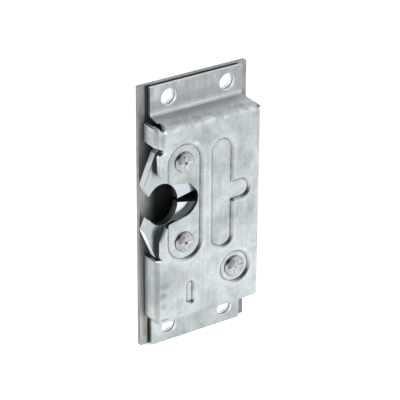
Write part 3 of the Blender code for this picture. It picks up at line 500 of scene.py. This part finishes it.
def make_claw_zinc():
    """The claws' smoother, brighter zinc: painted light on their beaks, more on the lower one, painted shade
    where they pass under the cover, and a dark line along the upper claw's outer edge.
    """
    metal = Metal("claw_zinc", CLAW_GREYS, (0.18, 0.26), cloud=16.0, mottle=7.0, grain=0.5, bump=0.02)
    nodes = metal.nodes
    beak = nodes.step(metal.across, *BEAK_ACROSS)
    # painted light on the beaks, more on the lower one
    metal.film(CLAW_BEAK, beak)
    metal.film(LOWER_BEAK, beak, nodes.step(metal.up, *LOWER_CLAW_UP))
    shanks = nodes.total(nodes.step(metal.up, *LOWER_SHANK_UP), nodes.step(metal.up, *UPPER_SHANK_UP))
    # painted shade where the claws pass under the cover's edge
    metal.film(SHADE_AND_SMUDGE, nodes.band(metal.across, *CLAW_SHADE), shanks, 0.6)
    (tip_x, tip_z), (heel_x, heel_z) = UPPER_OUTER_EDGE
    length = math.hypot(heel_x - tip_x, heel_z - tip_z)
    inside = nodes.total(nodes.product(nodes.less(metal.across, tip_x), (heel_z - tip_z) / length),
                         nodes.product(nodes.less(metal.up, tip_z), (tip_x - heel_x) / length))
    metal.film(SHADE_AND_SMUDGE, nodes.band(inside, *CLAW_LINE), nodes.step(metal.up, *CLAW_LINE_UP), 0.65)
    return metal.done()


def make_plate_zinc():
    """The plate's duller zinc: painted light, paler low down on its left, stained there beside the cover,
    under grease and painted shade inside the housing, and in painted shade of the cover's edges.
    """
    metal = Metal("plate_zinc", PLATE_GREYS, (0.42, 0.58), cloud=9.0, streak=0.06)
    nodes = metal.nodes
    front = nodes.step(metal.depth, *PLATE_FRONT)
    # painted light low on the left strip, grease and painted shade inside the housing, a stain, and painted
    # shade of the cover's edges
    metal.film(PALE, nodes.step(metal.across, *STRIP_ACROSS), nodes.spread(metal.up, *STRIP_UP, 0.95, 0.0),
               front)
    metal.film(GREASE_AND_SHADE, nodes.step(metal.across, *GREASE_SHADE_LEFT), nodes.step(metal.across, *GREASE_SHADE_RIGHT), front,
               nodes.band(metal.up, *GREASE_SHADE_UP))
    metal.film(STAIN, nodes.band(metal.across, *STAIN_ACROSS), nodes.band(metal.up, *STAIN_UP), front, 0.45)
    for (across, up), fade in ((UPPER_SHADE, nodes.step), (LOWER_SHADE, nodes.step), (TOP_SHADE, nodes.band)):
        metal.film(SHADE_AND_SMUDGE, nodes.band(metal.across, *across), fade(metal.up, *up), front, 0.85)
    return metal.done()


# Choosers: each gives the place of a face's finish in the list that goes with it

def in_mm(face):
    return face.center / MM


def between(value, ends):
    return ends[0] < value < ends[1]


def plate_finish(face):
    """0 outside, 1 the walls of the holes."""
    x, _, z = in_mm(face)
    half_x, half_z = PLATE_INSIDE
    return 1 if abs(face.normal.y) < EDGE_ON and abs(x) < half_x and abs(z) < half_z else 0


def claw_finish(face):
    """0 front, 1 cut edge, 2 back, greased and in painted shade, 3 the lower claw's outer edge, which shines
    as a painted highlight.
    """
    n = face.normal
    left, down = LOWER_EDGE_WAY
    if n.y > FACING:
        return 2
    if n.x < left and n.z < down and between(in_mm(face).z, LOWER_EDGE_UP):
        return 3
    return 0 if n.y < -FACING else 1


def cover_finish(face):
    """0 outside, 1 cut edge, 2 inside, greased and in painted shade, 3 a flange's side, 4 the mouth's edge,
    in painted shade, 5 the lower slit's burr, with painted shade and a painted highlight.
    """
    x, y, z = in_mm(face)
    n = face.normal
    flange = y > FLANGE_FRONT and abs(z) > FLANGE_FROM
    if flange and n.y > FACING:
        return 2
    if flange and abs(n.y) < EDGE_ON:
        return 3 if abs(x - FLANGE_MIDDLE) > FLANGE_HALF else 1
    wall_end = abs(n.z) > SQUARELY and not between(x, WALL_ENDS) and z > MOUTH_UP[0]
    if wall_end and y < SHEET_BACK:
        return 1 if z > 0.0 else 5
    mouth = between(x, MOUTH_ACROSS) and between(z, MOUTH_UP) and abs(n.y) < LEAN
    if mouth and y < SHEET_BACK:
        return 1 if n.x < MOUTH_LEFT and x < MOUTH_TIP else 4
    if n.y > LEAN:
        return 1 if y > WALL_BACK else 2
    left_x, left_z = LEFT_INSIDE
    inner = (n.x > FACING and x < left_x and z < left_z) or (n.x < -FACING and x > RIGHT_INSIDE)
    return 2 if inner else 0


def rivet_finish(face):
    """0 the cross, 1 the pressed quarters and the punch mark, 2 the head's side and all behind it."""
    x, y, z = in_mm(face)
    punched = any(math.hypot(x - middle_x, z - middle_z) < PUNCH_HALF for middle_x, middle_z in PIVOTS)
    if y > HEAD_BACK or (face.normal.y > -HEAD_FACING and not punched):
        return 2
    return 0 if face.normal.y < -HEAD_FLAT else 1


# Pieces

def dress(name, body, materials, choose, edge_width):
    """Shows a CAD node as a copy with fused flat facets, rounded edges and smooth curves."""
    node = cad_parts[name]
    shape = bmesh.new()
    shape.from_mesh(node.data)
    bmesh.ops.remove_doubles(shape, verts=shape.verts, dist=WELD)
    bmesh.ops.dissolve_limit(shape, angle_limit=math.radians(FLAT_ANGLE), verts=shape.verts,
                             edges=shape.edges)
    mesh = bpy.data.meshes.new(name + "_finish")
    shape.to_mesh(mesh)
    shape.free()
    for material in materials:
        mesh.materials.append(material)
    for face in mesh.polygons:
        face.use_smooth = True
        face.material_index = choose(face)
    mesh.set_sharp_from_angle(angle=math.radians(SMOOTH_ANGLE))
    piece = bpy.data.objects.new(name + "_finish", mesh)
    bpy.context.scene.collection.objects.link(piece)
    bevel = piece.modifiers.new("edge", "BEVEL")
    bevel.width = edge_width
    bevel.segments = EDGE_SEGMENTS
    bevel.limit_method = "ANGLE"
    bevel.angle_limit = math.radians(SHARP_ANGLE)
    bevel.use_clamp_overlap = True
    bevel.harden_normals = False
    normals = piece.modifiers.new("shading", "WEIGHTED_NORMAL")
    normals.keep_sharp = True
    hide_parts(name)
    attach(piece, body)


def wind(name, material):
    """Shows a spring as a copy with one finish, fixed where it stands."""
    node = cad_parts[name]
    mesh = node.data.copy()
    mesh.name = name + "_wound"
    mesh.transform(node.matrix_world)
    mesh.materials.clear()
    mesh.materials.append(material)
    piece = bpy.data.objects.new(name + "_wound", mesh)
    bpy.context.scene.collection.objects.link(piece)
    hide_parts(name)
    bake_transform(piece)


def paint(name, material):
    """Gives a CAD node one finish and leaves its shape alone."""
    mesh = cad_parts[name].data
    mesh.materials.clear()
    mesh.materials.append(material)


# Stage

def make_floor():
    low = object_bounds()[0][2]
    mesh = bpy.data.meshes.new("floor")
    shape = bmesh.new()
    corners = [(-FLOOR_REACH, -FLOOR_REACH), (FLOOR_REACH, -FLOOR_REACH),
               (FLOOR_REACH, FLOOR_REACH), (-FLOOR_REACH, FLOOR_REACH)]
    shape.faces.new([shape.verts.new((x, y, low - FLOOR_DROP)) for x, y in corners])
    shape.to_mesh(mesh)
    shape.free()
    floor = bpy.data.objects.new("floor", mesh)
    bpy.context.scene.collection.objects.link(floor)
    material = bpy.data.materials.new("floor_paper")
    material.use_nodes = True
    shader = material.node_tree.nodes["Principled BSDF"]
    shader.inputs["Base Color"].default_value = rgba(FLOOR_WHITE)
    shader.inputs["Roughness"].default_value = 0.9
    shader.inputs["Specular IOR Level"].default_value = 0.1
    shader.inputs["Emission Color"].default_value = rgba(WHITE)
    nodes = Nodes(material.node_tree)
    place = nodes.add("ShaderNodeTexCoord").outputs["Object"]
    # painted pool of light: the floor glows most at one place in front of the latch
    away = nodes.add("ShaderNodeVectorMath", {0: place, 1: (*GLOW_AT, low)}, operation="DISTANCE")
    glow = nodes.step(away.outputs["Value"], GLOW_REACH, 0.0)
    strength = nodes.spread(glow, 0.0, 1.0, *GLOW)
    material.node_tree.links.new(strength, shader.inputs["Emission Strength"])
    mesh.materials.append(material)


def blob(nodes, direction, way, inner, outer):
    """A soft round patch of the surroundings: 1 within inner degrees of a way, 0 past outer."""
    length = math.hypot(*way)
    toward = tuple(value / length for value in way)
    along = nodes.add("ShaderNodeVectorMath", {0: direction, 1: toward}, operation="DOT_PRODUCT")
    return nodes.step(along.outputs["Value"], math.cos(math.radians(outer)), math.cos(math.radians(inner)))


def make_world():
    world = bpy.data.worlds.new("studio")
    bpy.context.scene.world = world
    world.use_nodes = True
    nodes = Nodes(world.node_tree)
    background = world.node_tree.nodes["Background"]
    direction = nodes.add("ShaderNodeTexCoord").outputs["Generated"]
    height = nodes.add("ShaderNodeSeparateXYZ", {"Vector": direction}).outputs["Z"]
    level = nodes.spread(height, *SKY_HEIGHTS, HORIZON, OVERHEAD)
    dark = blob(nodes, direction, DARK_WAY, *DARK_REACH)
    level = nodes.product(level, nodes.spread(dark, 0.0, 1.0, 1.0, DARK_SHARE))
    background.inputs["Color"].default_value = rgba(SKY_COLOUR)
    world.node_tree.links.new(level, background.inputs["Strength"])


def make_camera():
    data = bpy.data.cameras.new("camera")
    data.sensor_width = CAMERA_SENSOR
    data.sensor_fit = "HORIZONTAL"
    data.lens = CAMERA_LENS
    data.clip_start, data.clip_end = CAMERA_CLIP
    camera = bpy.data.objects.new("camera", data)
    facing = (Vector(CAMERA_AIM) - Vector(CAMERA_AT)).to_track_quat("-Z", "Y").to_matrix().to_4x4()
    roll = Matrix.Rotation(math.radians(CAMERA_ROLL), 4, "Z")
    camera.matrix_world = Matrix.Translation(CAMERA_AT) @ facing @ roll
    bpy.context.scene.collection.objects.link(camera)
    bpy.context.scene.camera = camera


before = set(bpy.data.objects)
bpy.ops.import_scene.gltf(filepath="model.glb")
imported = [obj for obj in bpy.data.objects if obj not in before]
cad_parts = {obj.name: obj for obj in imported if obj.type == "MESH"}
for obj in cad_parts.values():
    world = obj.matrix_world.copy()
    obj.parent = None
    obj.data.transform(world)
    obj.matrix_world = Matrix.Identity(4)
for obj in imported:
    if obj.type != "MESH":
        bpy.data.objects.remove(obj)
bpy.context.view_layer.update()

cover_zinc = make_cover_zinc()
plate_zinc = make_plate_zinc()
claw_zinc = make_claw_zinc()
cross_zinc = make_rivet_zinc("rivet_cross", CROSS_GREYS, (0.34, 0.48), 0.1)
rivet_zinc = make_rivet_zinc("rivet_zinc", RIVET_GREYS, (0.36, 0.50), 0.3)
side_zinc = Metal("rivet_side", RIVET_GREYS, (0.18, 0.30), cloud=3.0, mottle=0.9, grain=0.25).done()
cut_edge = Metal("sheared_edge", EDGE_GREYS, (0.40, 0.55), cloud=4.0, mottle=1.0, grain=0.2).done()
claw_edge = Metal("claw_edge", CLAW_EDGE_GREYS, (0.30, 0.45), cloud=5.0, mottle=1.0, grain=0.2).done()
# painted highlight: the lower claw's outer edge glows
shining_edge = Metal("shining_edge", EDGE_GREYS, (0.30, 0.45), cloud=4.0).glow(WHITE, 0.38).done()
burr = make_burr()
# painted shade on the mouth's cut edge
mouth_edge = Metal("mouth_edge", SHADE_GREYS, (0.30, 0.45), cloud=4.0, streak=0.3).done()
# grease and painted shade on the faces inside the housing, with a painted glow of bounced light
inside_shade_zinc = Metal("greased_and_shaded_zinc", SHADE_GREYS, (0.45, 0.60), cloud=6.0).glow(COOL_WHITE, 0.17).done()
spring_wire = Metal("spring_wire", WIRE_GREYS, (0.30, 0.45), cloud=3.0, mottle=1.5).done()

cover_finishes = (cover_zinc, cut_edge, inside_shade_zinc, rivet_zinc, mouth_edge, burr)
claw_finishes = (claw_zinc, claw_edge, inside_shade_zinc, shining_edge)
rivet_finishes = (cross_zinc, rivet_zinc, side_zinc)
dress("back_plate", "housing", (plate_zinc, cut_edge), plate_finish, SHEET_EDGE)
dress("cover", "housing", cover_finishes, cover_finish, SHEET_EDGE)
for lever in ("upper_claw", "lower_claw", "pawl"):
    dress(lever, lever, claw_finishes, claw_finish, CLAW_EDGE)
    dress(lever + "_rivet", "housing", rivet_finishes, rivet_finish, RIVET_EDGE)
    for ring in ("_bush", "_washer"):
        paint(lever + ring, side_zinc)
    wind(lever + "_spring", spring_wire)
paint("release_pin", side_zinc)

make_floor()
make_world()
bpy.context.scene.view_settings.view_transform = "Standard"
make_camera()
